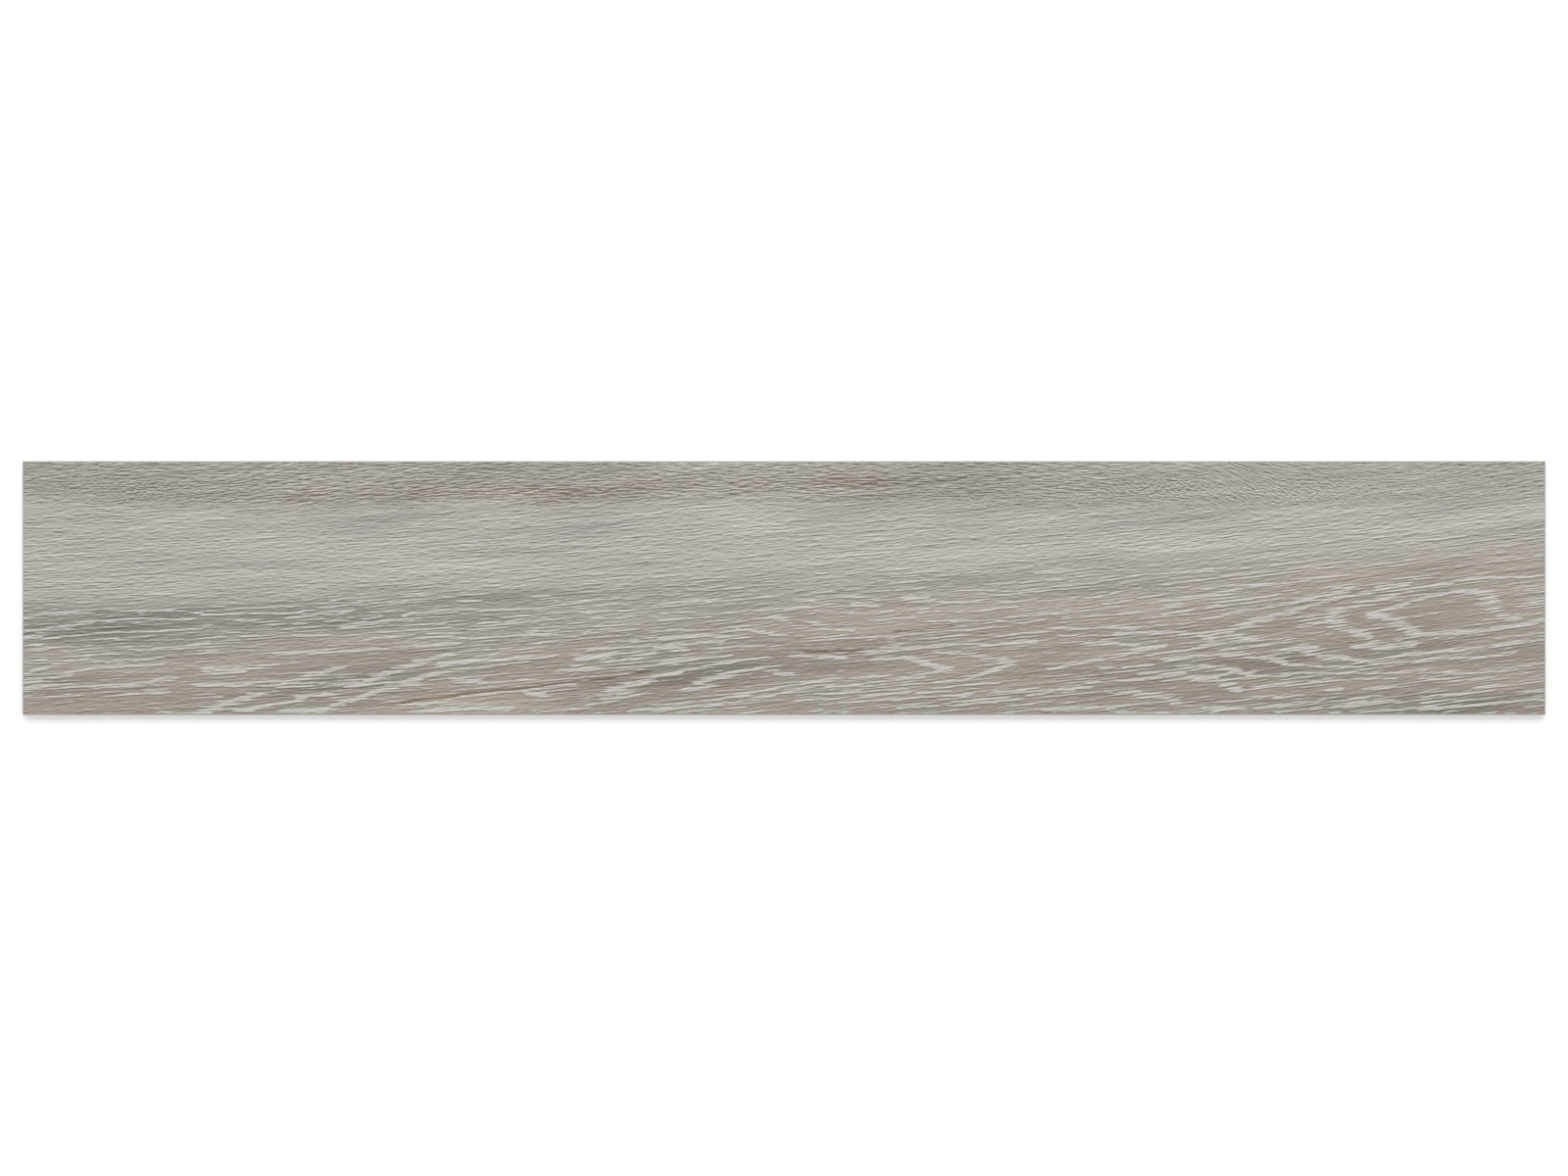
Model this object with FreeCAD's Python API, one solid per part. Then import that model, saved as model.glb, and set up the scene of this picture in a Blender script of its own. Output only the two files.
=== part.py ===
# Wood-look porcelain plank tile: one dry-pressed plank with ground edges and a keyed back.
# Millimetres, +Z up. The origin is the middle of the back, on the plane that the tile is bedded on.
# X runs along the plank and Y across it. The wood-grain face is up, at Z = THICKNESS.
import FreeCAD, Part
import math
import os

# The plank, ground square on all four edges after firing.
LENGTH = 1200.0
WIDTH = 200.0
THICKNESS = 9.0

# Fine 45 degree bevels that the grinding line leaves round the face and round the back.
FACE_BEVEL = 0.7
BACK_BEVEL = 0.5

# The keyed back: a waffle of shallow pockets that the adhesive grips, pressed by the lower die.
# The pockets keep clear of the edges by a plain margin, and the ribs between them carry the tile.
KEY_MARGIN = 10.0
KEY_PITCH = 30.0
KEY_RIB = 5.0
KEY_DEPTH = 0.8
KEY_DRAFT_DEG = 30.0

# How far the die's pads stand out below the back while they cut it, so that no faces coincide.
PAD_OVERRUN = 0.2


def edges_at(solid, height):
    """The edges of a solid that lie flat at one height."""
    flat = []
    for edge in solid.Edges:
        box = edge.BoundBox
        if abs(box.ZMin - height) < 1e-6 and abs(box.ZMax - height) < 1e-6:
            flat.append(edge)
    return flat


def ground_blank():
    """The plank with its four ground edges and the fine bevels round the face and the back."""
    corner = FreeCAD.Vector(-LENGTH / 2, -WIDTH / 2, 0)
    blank = Part.makeBox(LENGTH, WIDTH, THICKNESS, corner)
    blank = blank.makeChamfer(FACE_BEVEL, edges_at(blank, THICKNESS))
    return blank.makeChamfer(BACK_BEVEL, edges_at(blank, 0.0))


def key_count(span):
    """How many pockets fill a span: an even number, so that a rib runs along the middle."""
    return max(2, 2 * round(span / (2 * KEY_PITCH)))


def die_pad(mouth_x, mouth_y):
    """One pad of the lower die: a block with drafted sides that presses a pocket of this mouth."""
    lean = math.tan(math.radians(KEY_DRAFT_DEG))
    foot_x = mouth_x / 2 + PAD_OVERRUN * lean
    foot_y = mouth_y / 2 + PAD_OVERRUN * lean
    top_x = mouth_x / 2 - KEY_DEPTH * lean
    top_y = mouth_y / 2 - KEY_DEPTH * lean
    # A wedge tapers along its own Y, so it is made lying down and then stood up on its foot.
    low = (-foot_x, -PAD_OVERRUN, -foot_y, -top_y, -top_x)
    high = (foot_x, KEY_DEPTH, foot_y, top_y, top_x)
    pad = Part.makeWedge(*low, *high)
    return pad.rotated(FreeCAD.Vector(0, 0, 0), FreeCAD.Vector(1, 0, 0), 90)


def lower_die():
    """All the pads, evenly spaced over the back inside the plain margin."""
    field_x = LENGTH - 2 * KEY_MARGIN + KEY_RIB
    field_y = WIDTH - 2 * KEY_MARGIN + KEY_RIB
    count_x = key_count(field_x)
    count_y = key_count(field_y)
    pitch_x = field_x / count_x
    pitch_y = field_y / count_y
    pad = die_pad(pitch_x - KEY_RIB, pitch_y - KEY_RIB)
    pads = []
    for column in range(count_x):
        for row in range(count_y):
            x = (column - (count_x - 1) / 2) * pitch_x
            y = (row - (count_y - 1) / 2) * pitch_y
            pads.append(pad.translated(FreeCAD.Vector(x, y, 0)))
    return Part.makeCompound(pads)


def plank_tile():
    """The fired plank: the ground blank with the lower die's pockets in its back."""
    return ground_blank().cut(lower_die()).Solids[0]


def main():
    os.makedirs("parts", exist_ok=True)
    tile = plank_tile()
    tile.exportStep("parts/plank_tile.step")
    box = tile.BoundBox
    print(f"plank_tile {box.XLength:.1f} x {box.YLength:.1f} x {box.ZLength:.1f} mm,", end=" ")
    print(f"{tile.Volume / 1000:.1f} cm3, {len(tile.Faces)} faces, valid {tile.isValid()}")


main()
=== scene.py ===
# Wood-look porcelain plank tile: the looks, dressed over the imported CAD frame.
# Metres, +Z up, in the CAD frame. Sizes of the grain are written in millimetres and scaled by MM.
import bpy
import math
import numpy as np
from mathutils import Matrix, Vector, noise


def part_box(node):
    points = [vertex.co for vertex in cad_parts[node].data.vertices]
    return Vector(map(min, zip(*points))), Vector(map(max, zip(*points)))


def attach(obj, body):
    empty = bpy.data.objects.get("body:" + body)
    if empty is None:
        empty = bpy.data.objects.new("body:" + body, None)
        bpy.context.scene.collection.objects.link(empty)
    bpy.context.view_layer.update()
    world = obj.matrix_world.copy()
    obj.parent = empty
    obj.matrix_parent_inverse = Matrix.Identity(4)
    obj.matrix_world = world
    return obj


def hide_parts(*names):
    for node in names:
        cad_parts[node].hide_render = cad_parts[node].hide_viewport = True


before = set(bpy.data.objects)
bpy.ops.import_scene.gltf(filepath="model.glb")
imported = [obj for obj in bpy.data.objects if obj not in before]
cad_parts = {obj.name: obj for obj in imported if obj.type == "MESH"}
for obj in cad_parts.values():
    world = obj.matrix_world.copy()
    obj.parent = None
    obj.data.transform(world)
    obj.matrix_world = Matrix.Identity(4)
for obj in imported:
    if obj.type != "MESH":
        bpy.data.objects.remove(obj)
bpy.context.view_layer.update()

MM = 0.001
BODY = "root"
NODE = "plank_tile"
LOW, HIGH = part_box(NODE)

# The photograph's frame, and the pixels that the tile covers in it from end to end.
IMAGE_WIDTH = 1600
TILE_PIXELS = 1554

# The face is a grid, long cells along the fibre and fine ones across it, for the pressed grain.
# An edge is cut in parts first and each part again, because one round makes 100 cuts at most.
PARTS_ALONG = (2, 100)
PARTS_ACROSS = (5, 90)
WELD = 0.01 * MM

# How deep the press stamps the open grain into the face, the length and width of its strokes in mm,
# and how much the strokes and the white lines press in, as shares of that depth.
GRAIN_DEPTH = 0.22 * MM
PRESSED_STROKE = (24, 1.9)
PRESSED_FIBRE = 0.9
PRESSED_LINE = 0.35
# Faces that meet at less than this are shaded as one.
SMOOTH_UNDER = math.radians(35)

# The grain, drawn as a sawn board shows it. Points are (along, across), in mm from the middle.
# The heart line is where the saw passed nearest to the pith, so the rings turn back along it.
HEART_LINE = (
    (-600, -125), (-368, -113), (-250, -99), (-170, -87), (-122, -81), (-71, -75), (-32, -70), (7, -66),
    (58, -63), (130, -61.5), (180, -57.5), (281, -47.5), (346, -35.5), (416, -26), (474, -21.5),
    (524, -17.5), (600, -11),
)
# The pale band lies between these two lines: smooth wood with hardly any lime in it.
PALE_FROM = (
    (-600, -10), (-445, -14), (-368, -10), (-306, -3), (-198, -3), (-60, 0), (56, 10), (172, 17),
    (288, 23), (442, 36), (600, 51),
)
PALE_TO = (
    (-600, 75), (-523, 69), (-368, 65), (-214, 71), (-60, 75), (56, 74), (130, 68), (200, 64),
    (280, 62), (404, 64), (502, 68), (600, 74),
)
# How far over the heart line the guide lines count as lying, in mm, and the share that counts below it.
LAY_PALE_FROM = 70.0
LAY_PALE_TO = 135.0
LAY_EDGE = 160.0
LAY_BELOW = 0.75
# The run of the single fibres, which rise across the zones, and their run in the flecked band.
FIBRE_RUN = ((-600, 0), (-300, 18), (0, 44), (300, 73), (600, 110))
FLECKED_RUN = (
    (-600, 0), (-450, 10), (-300, 22), (-150, 31), (0, 34), (200, 34), (280, 32), (330, 28), (380, 11),
    (430, 4), (500, 5), (600, 17),
)
# How far below the ridge of a stroke or a white line its lip of painted shade lies, in mm.
STROKE_LIP = 0.9
# The strokes of the open grain, (length, width) in mm, and the share of each in the height of a zone.
# Real pores are about 0.3 mm wide: too fine for the picture, so they are drawn coarser.
FIBRE_STROKES = ((8, 1.15), (20, 1.4), (60, 1.5))
FIGURE_SHARES = (0.36, 0.38, 0.26)
PALE_SHARES = (0.42, 0.40, 0.18)
LIME_SHARES = (0.18, 0.40, 0.42)
# The flecks are straight strokes. Between ticks of this size they fade by up to this share.
FLECK_STROKE = (12, 1.05)
FLECK_TICK = (4.3, 1.6)
TICK_FADES = 0.75
# The grains that the mottle breaks the flecks up into.
MOTTLE_STROKE = (3.2, 1.2)
# The noise from the groove to the ridge of a stroke.
STROKE_FROM = (0.28, 0.72)
# Layers of finer noise in the plain streaks, and in the ragged ones.
PLAIN_DETAIL = 1.0
RAGGED_DETAIL = 2.0
# Length and width in mm of the fine white lines between the drawn ones, and of the soft clouds and wisps.
FINE_LINE = (140, 1.6)
CLOUD = (200, 14)
WISP = (90, 4.5)
# The noise from the darkest cloud or wisp to the lightest, and the shade that each gives.
CLOUD_FROM = (0.2, 0.8)
CLOUD_SHADE = (0.88, 1.12)
WISP_SHADE = (-0.12, 0.12)
# Lime fills the ridges where the nearness of a white line and the height of the ridge add up to this,
# and covers the wood by this share at most.
LIME_FILLS = (0.72, 1.1)
LIME_COVER = 0.9
# How near a drawn line and a fine one count as being, and the noise that a fine line shows from.
DRAWN_NEARNESS = 0.7
FINE_NEARNESS = 0.47
FINE_FROM = (0.55, 0.67)
# Fine lines fade out where the share of figured wood times this is less than 1.
FINE_REACH = 2.0
# The colours of the print, each from its painted shade to its painted highlight over the strokes.
TAUPE_WOOD = ("#736a5f", "#b7afa3")
CREAM_WOOD = ("#87837b", "#cecbc5")
GREY_FLECKS = ("#69645b", "#c5c1ba")
WHITE_LIME = ("#a19d96", "#d9d7d3")
# SHADED_LIP is painted shade, for the dark lip under each white line.
SHADED_LIP = "#7c7367"
# The brown is both real stain and painted shade under the strokes.
BROWN_STAIN_AND_SHADE = "#695842"
# Painted relief light: the rise or fall over a lip that gives each colour's painted shade and highlight.
CREAM_LIGHT = (-0.52, 0.47)
FLECK_LIGHT = (-0.49, 0.46)
TAUPE_LIGHT = (-0.74, 0.65)
LIME_LIGHT = (-0.5, 0.34)
# Brown stain, and painted brown shade under the strokes: how each grows, where it shows and how it covers.
STAIN_IN_FLECKS = 0.6
STAIN_IN_LINES = 2.7
PAINTED_SHADE_UNDER_STROKES = -2.2
STAIN_AND_SHADE_SHOWS = (0.8, 2.2)
STAIN_AND_SHADE_COVER = 0.8
# Length and width in mm of the clumps that the stain of the flecks gathers in, and the noise that shows it.
STAIN_CLUMP = (45, 5)
CLUMP_FROM = (0.46, 0.74)
# How much the painted relief light of the flecks deepens for each step of brown.
BROWN_DEEPENS = 0.28
# The zones fade into each other over these lays, and their edges wander along the fibre.
FIGURE_FADES = (34, 104)
FLECKS_FADE_IN = (132, 156)
EDGE_WANDER = (70, 4)
WANDER_DEPTH = 24

# The white lines of the early wood, drawn one by one: half width, then the points, in mm.
# A line's half width counts fully across the plank, but fades out this many times slower along it.
LINE_STRETCH = 2.5
# How sharply a line ends at its half width: 2 would be a soft bell.
LINE_SHARPNESS = 3
# Thin lines are bold and broad ones faint: the boldness at no width, and its loss per mm of half width.
THIN_BOLDNESS = 1.18
BROAD_LOSS = 0.12
# Set beside the photograph, lines at the points read from it came out too high: all lie this much lower.
LINE_DROP = 0.6
EYE_LINES = (
    (1.3, (460, -19.5), (480, -15), (500, -8.5), (516, -5), (530, -1.5), (546, -1)),
    (3.6, (538, -2.5), (552, -4), (558, -10), (561, -16), (572, -23), (583, -27)),
    (3.6, (466, -20.5), (476, -23), (486, -28), (497, -34)),
    (2.4, (497, -35.5), (515, -37), (530, -35), (545, -34), (562, -31.5), (582, -29), (600, -24)),
    (4.2, (584, -12), (600, -9)),
    (4.1, (411, -28.5), (420, -24), (430, -22), (437, -27)),
    (1.9, (430, -19.5), (441, -16), (453, -12.5), (467, -9), (481, -5)),
    (2.9, (434, -30.5), (450, -32.5), (460, -38), (464, -42)),
    (2.2, (448, -45), (464, -46), (482, -45.5), (498, -43)),
    (2.6, (396, -47.5), (410, -45.5), (419, -47)),
    (2.2, (411, -50.5), (424, -53.5), (442, -54), (450, -57), (470, -56), (490, -52), (512, -50),
     (540, -47.5)),
    (1.2, (540, -47.5), (560, -44.5), (580, -42), (600, -40.5)),
)
ARM_LINES = (
    (2.4, (345, -52), (358, -51.5), (371, -53.5), (386, -55.5), (396, -59)),
    (1.1, (300, -55.5), (320, -53.5), (345, -52)),
    (1.1, (396, -59.5), (425, -61.5), (450, -61.5), (475, -58), (500, -57.5), (516, -55), (545, -54),
     (575, -50.5)),
    (2.4, (315, -62.5), (330, -61.5), (345, -62), (360, -66), (371, -68.5)),
    (1.1, (280, -67), (300, -65), (315, -62.5)),
    (1.1, (371, -68.5), (386, -69), (405, -66.5), (440, -66.5), (480, -66.5), (502, -65)),
    (2.8, (304, -67.5), (316, -69), (328, -70.5), (341, -72), (350, -75.5), (357, -79)),
    (1.1, (239, -73.4), (250, -71.7), (260, -70.6)),
    (1.1, (262, -72.5), (271, -71.9), (280, -71.2), (290, -70), (304, -67.3)),
    (1.1, (352, -80.3), (362, -79.9), (370, -78.6), (380, -77.3), (390, -76.2), (400, -75.6), (410, -74.4),
     (422, -73), (440, -72), (450, -71), (480, -70.5)),
    (0.9, (270, -61.9), (280, -61), (290, -59.4)),
    (0.9, (250, -62.3), (257, -62.1)),
    (3.4, (278, -83.5), (290, -84), (301, -86.5), (311, -90)),
    (1.1, (311, -92), (325, -92.8), (340, -93.4), (360, -94.5), (380, -93.2), (390, -91.9), (400, -90.6),
     (410, -89.5), (420, -88.7), (430, -87.6), (440, -86.6)),
    (1.1, (446, -86.8), (455, -85.6), (462, -84.8), (472, -84.1)),
    (1.1, (500, -85.2), (510, -84.2), (520, -83.6), (531, -82.9), (540, -82.1), (550, -81.2), (560, -80.3)),
    (0.9, (390, -86.3), (400, -84.9), (410, -84)),
    (3.1, (335, -38), (345, -36), (357, -37), (368, -39)),
    (2.4, (342, -35.5), (356, -30), (371, -26), (386, -22), (402, -17.5)),
    (1, (402, -17), (416, -13), (430, -9), (443, -6.5)),
    (2.2, (440, -6), (458, -4)),
    (1.3, (265, -36), (290, -34.5), (306, -34), (322, -35.5), (340, -38)),
    (1.1, (285, -53), (302, -50.5), (319, -48), (336, -44), (352, -42.5), (378, -40), (400, -38.5)),
    (1.4, (355, -19), (375, -15.5), (400, -11.5), (408, -9)),
    (2.4, (406, -9.5), (425, -5.5), (440, -2.5)),
    (1.9, (430, 0.5), (446, 1.5)),
    (1.9, (468, 0.5), (490, 3.5)),
    (1.1, (482, -1.5), (497, 0.5), (512, 3), (531, 6.5), (550, 9), (575, 9), (600, 11)),
)
UPPER_LINES = (
    (0.8, (200, -10), (230, -8), (250, -5), (267, -2), (282, 0.5), (310, 5), (345, 9), (368, 12),
     (400, 15)),
    (0.8, (200, -0.5), (225, 2.5), (246, 5), (262, 8), (277, 10.5), (300, 12.5), (335, 14)),
    (0.8, (250, -12), (266, -10.5), (281, -7.5)),
    (0.8, (300, -20), (320, -17), (337, -13.5), (352, -10), (380, -6), (402, -1)),
    (0.8, (310, -28), (326, -25), (341, -22), (355, -19)),
    (0.8, (345, -2.5), (361, 0), (380, 3), (396, 4.5)),
    (0.8, (405, 6.5), (425, 9), (445, 11)),
    (0.8, (215, -20), (236, -17), (262, -14)),
    (0.8, (35, -39.5), (60, -38.5), (86, -37), (112, -35.5), (132, -33.5), (152, -32.5)),
    (0.8, (98, -41), (116, -39.5), (131, -37), (146, -36)),
    (1, (118, -46), (140, -43), (165, -44.5), (200, -42)),
    (0.8, (12, -10), (30, -8), (46, -6.5), (62, -6.5), (74, -9)),
    (2.9, (98, -6.5), (113, -7)),
    (1, (102, -10), (130, -10), (155, -11), (180, -10), (200, -8.5)),
    (0.8, (70, -18.5), (88, -17)),
    (0.8, (105, -19), (124, -18)),
    (0.8, (130, -17.5), (165, -17.5)),
    (0.8, (138, -1), (160, -1), (180, -2), (200, -0.5)),
    (1.8, (55, -12), (70, -13)),
    (0.8, (212, -31), (235, -31.5), (265, -30.5)),
    (0.8, (215, -37), (232, -36.5)),
    (1.1, (-160, -19.1), (-150, -18.2), (-140, -17.4), (-130, -17.5), (-120, -16.8)),
    (0.8, (-130, -22.8), (-120, -21.8)),
    (0.8, (-100, -20), (-90, -19), (-73, -18.4)),
    (0.9, (-105, -33.6), (-98, -33.2)),
    (0.9, (-90, -32.8), (-80, -32.3)),
    (1, (-90, -43.6), (-80, -43.2)),
    (0.8, (-140, -42), (-120, -41)),
    (0.8, (-100, -11.6), (-80, -10.5)),
    (0.8, (-125, -8.6), (-115, -7.6)),
    (0.8, (-190, -33.5), (-176, -32.7)),
    (0.8, (-152, -23.5), (-142, -22.5)),
    (0.8, (-200, -31), (-180, -30)),
    (0.8, (-192, -42), (-176, -40.5)),
    (0.8, (-200, -55), (-180, -52.5)),
    (0.8, (-260, -9), (-240, -10), (-224, -12)),
)
LOWER_LINES = (
    (1, (520, -67), (546, -66), (571, -64), (591, -60), (600, -59)),
    (1.1, (546, -77.7), (560, -76.2), (567, -75.4)),
    (1.1, (579, -73), (590, -71.9), (600, -71.2)),
    (1.2, (428, -79.6), (440, -78.7)),
    (1, (452, -79.3), (460, -78.6), (470, -77.4), (480, -76.8)),
    (0.9, (484, -77.6), (496, -76.4)),
    (1, (390, -97.3), (410, -95), (420, -94.1), (430, -93.6), (440, -92.4), (460, -91.1), (466, -90.6),
     (474, -89.3), (480, -88.5)),
    (1, (449, -97.2), (460, -96.4), (470, -96), (480, -95.4)),
    (0.9, (428, -98), (436, -97.6)),
    (1.1, (505, -94.5), (516, -93.6), (530, -92.9), (545, -91.4), (569, -89.3)),
    (1.2, (574, -89.3), (588, -87.7), (600, -87.2)),
    (1, (484, -89.5), (493, -88.6), (500, -87.5)),
    (1, (501, -89.8), (507, -88.8), (513, -87.6)),
    (0.8, (515, -88.2), (530, -87.6), (540, -87.2), (550, -86.2)),
    (1, (545, -99), (558, -97.8)),
    (1, (566, -97.6), (573, -98.4)),
    (1, (588, -81), (600, -80.6)),
    (1, (505, -70.5), (530, -72.5), (560, -70)),
    (1.2, (130, -84.4), (142, -83.5)),
    (1, (87, -94), (100, -93), (120, -92.8)),
    (1, (130, -92.6), (140, -91.5), (150, -90.1), (170, -88.2), (190, -86.5)),
    (1.2, (191, -84.5), (201, -83.3), (220, -81.6), (230, -80.5)),
    (1, (20, -96.6), (30, -95.6)),
    (1, (40, -97), (50, -96.4)),
    (0.9, (13, -87.7), (30, -87), (50, -86.1)),
    (1, (176, -98), (190, -96.2), (200, -95.2), (215, -94.6), (230, -93.7), (250, -93.2), (260, -94.4)),
    (0.9, (93, -76), (100, -75), (108, -74.3)),
    (0.9, (10, -84.2), (20, -82.7), (40, -82.1), (60, -80.6)),
    (1, (60, -85.4), (72, -84.3), (81, -83), (92, -82.2), (100, -81.6)),
    (1, (31, -91.3), (41, -90.1), (52, -89.3), (62, -88.5), (81, -87.7), (92, -87), (100, -85.8),
     (112, -85)),
    (1, (125, -90.8), (135, -89.4), (145, -88), (160, -86.6), (175, -85.6)),
    (0.9, (119, -78.3), (130, -77.2), (140, -76), (152, -74.6), (170, -74)),
    (1, (165, -81.6), (172, -80.8), (182, -80.3), (190, -79.3), (200, -77.8)),
    (1, (82, -80), (90, -79.3), (98, -78.7)),
    (0.8, (105, -82), (118, -81.1), (130, -80.7)),
    (1.4, (230, -78.3), (241, -77.7)),
    (0.9, (255, -83.2), (268, -82.3), (280, -80.8)),
    (1, (178, -92.5), (190, -91), (200, -89.6), (208, -88.6)),
    (0.9, (258, -96.6), (268, -97.2), (280, -98)),
    (0.9, (289, -98.2), (300, -97.6), (310, -97)),
    (0.9, (325, -97.1), (340, -95.8), (350, -95.3), (360, -94.6)),
    (1, (-100, -92), (-60, -88.5), (-40, -84.5), (-20, -80.5), (0, -77), (20, -73.5), (41, -71),
     (85, -68)),
    (1, (-120, -97), (-90, -94.5), (-60, -91.5), (-30, -88), (-10, -84), (0, -81.5), (10, -79.4),
     (20, -77.8), (30, -76.8), (43, -76.6), (56, -76.7), (70, -76.3), (82, -75.5)),
)
FAN_LINES = (
    (1.9, (240, -43.5), (256, -43), (271, -43.5), (283, -46.5)),
    (2.2, (274, -46), (285, -47.5), (297, -45)),
    (1.4, (283, -49), (268, -52), (255, -54.5), (240, -57), (222, -60.5), (208, -62.5)),
    (2.6, (152, -54), (165, -55.5), (176, -57.5)),
    (1.2, (118, -50), (136, -51), (150, -51.5)),
    (1.4, (180, -59.5), (166, -63.5), (154, -68), (138, -71.5), (118, -74)),
    (2.2, (75, -54.5), (92, -54), (103, -56), (114, -59), (126, -62.5)),
    (1.9, (130, -63.5), (118, -66), (104, -69), (90, -71)),
    (1.2, (4, -53), (22, -52.5)),
    (1.8, (30, -53.5), (46, -53.5)),
)
LOOP_LINES = (
    (3.4, (-156, -88.5), (-142, -87), (-130, -84), (-119, -82.5)),
    (2.6, (-138, -79.5), (-124, -76.5), (-112, -73), (-105, -71)),
    (1.8, (-105, -69.5), (-94, -67.5), (-84, -66)),
    (1, (-84, -65), (-68, -62), (-50, -59), (-30, -56), (-12, -53.5)),
    (1.8, (-80, -79.5), (-66, -78), (-57, -76.5)),
    (2.0, (-68, -74), (-56, -71), (-44, -67.5), (-30, -64), (-16, -62.5)),
    (2.2, (-10, -64.5), (4, -68)),
    (2.4, (-175, -63.5), (-160, -62), (-150, -62.5)),
    (2.9, (-162, -55), (-148, -53.5), (-139, -56)),
    (1.2, (-145, -52), (-125, -51), (-110, -49), (-95, -47), (-80, -44.5)),
    (1.9, (-140, -57.5), (-125, -56), (-110, -53), (-100, -50.5)),
    (1.9, (-92, -48), (-79, -47.5)),
    (1, (-100, -59), (-85, -57.5), (-70, -56)),
    (1, (-62, -54), (-40, -52)),
    (0.8, (-135, -65.5), (-120, -63.5), (-110, -63)),
    (1, (-300, -91.5), (-280, -90), (-262, -87), (-245, -84), (-225, -82), (-200, -79.5), (-165, -75.5)),
    (2.4, (-202, -82), (-190, -84)),
    (3.4, (-288, -97), (-268, -95), (-245, -93), (-222, -94.5)),
    (1, (-200, -97), (-175, -95.5), (-150, -94)),
)
SLANT_LINES = (
    (2.2, (-342, -76.5), (-331, -74.5), (-322, -70.5), (-312, -66), (-300, -62), (-288, -58),
     (-275, -55), (-262, -51)),
    (1.1, (-262, -51), (-250, -49.5), (-232, -47.5)),
    (2.2, (-352, -91.5), (-340, -87.5), (-329, -84), (-318, -80), (-307, -76.5)),
    (3.1, (-308, -75), (-298, -74.5), (-290, -75.5)),
    (1.3, (-296, -73), (-283, -69), (-272, -66.5)),
    (0.8, (-272, -66.5), (-255, -63.5), (-235, -61.5), (-220, -59.5), (-200, -57)),
    (2.4, (-270, -60), (-258, -58), (-245, -56)),
    (1.1, (-240, -56), (-220, -55), (-200, -52.5)),
    (2.4, (-262, -72), (-250, -72), (-239, -73)),
    (0.8, (-225, -74), (-210, -72), (-200, -71)),
    (1.2, (-400, -52), (-385, -50.5), (-365, -50), (-345, -49), (-310, -46.5), (-288, -45.5),
     (-270, -43), (-256, -43)),
    (4.1, (-402, -75), (-386, -73.5), (-372, -75.5)),
    (2.0, (-380, -68), (-363, -66), (-350, -63)),
    (2.3, (-383, -85.5), (-371, -83.5), (-360, -83)),
    (1.2, (-400, -91.5), (-386, -88.5), (-378, -86.5)),
    (2.0, (-395, -97.5), (-380, -96), (-363, -95.5), (-348, -92)),
    (2.2, (-470, -99), (-456, -96.5), (-445, -92.5), (-434, -88.5), (-424, -86), (-414, -83), (-404, -81)),
    (1.9, (-428, -96), (-418, -94), (-404, -91)),
    (2.0, (-458, -64), (-448, -62.5), (-438, -63.5), (-428, -63)),
    (1.2, (-458, -66.5), (-440, -66), (-425, -65)),
    (1.1, (-428, -64), (-414, -61.5), (-400, -60)),
    (1.8, (-462, -76), (-448, -75.5), (-434, -76.5), (-420, -74.5), (-404, -72)),
    (0.8, (-462, -86.5), (-444, -85.5)),
)
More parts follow.
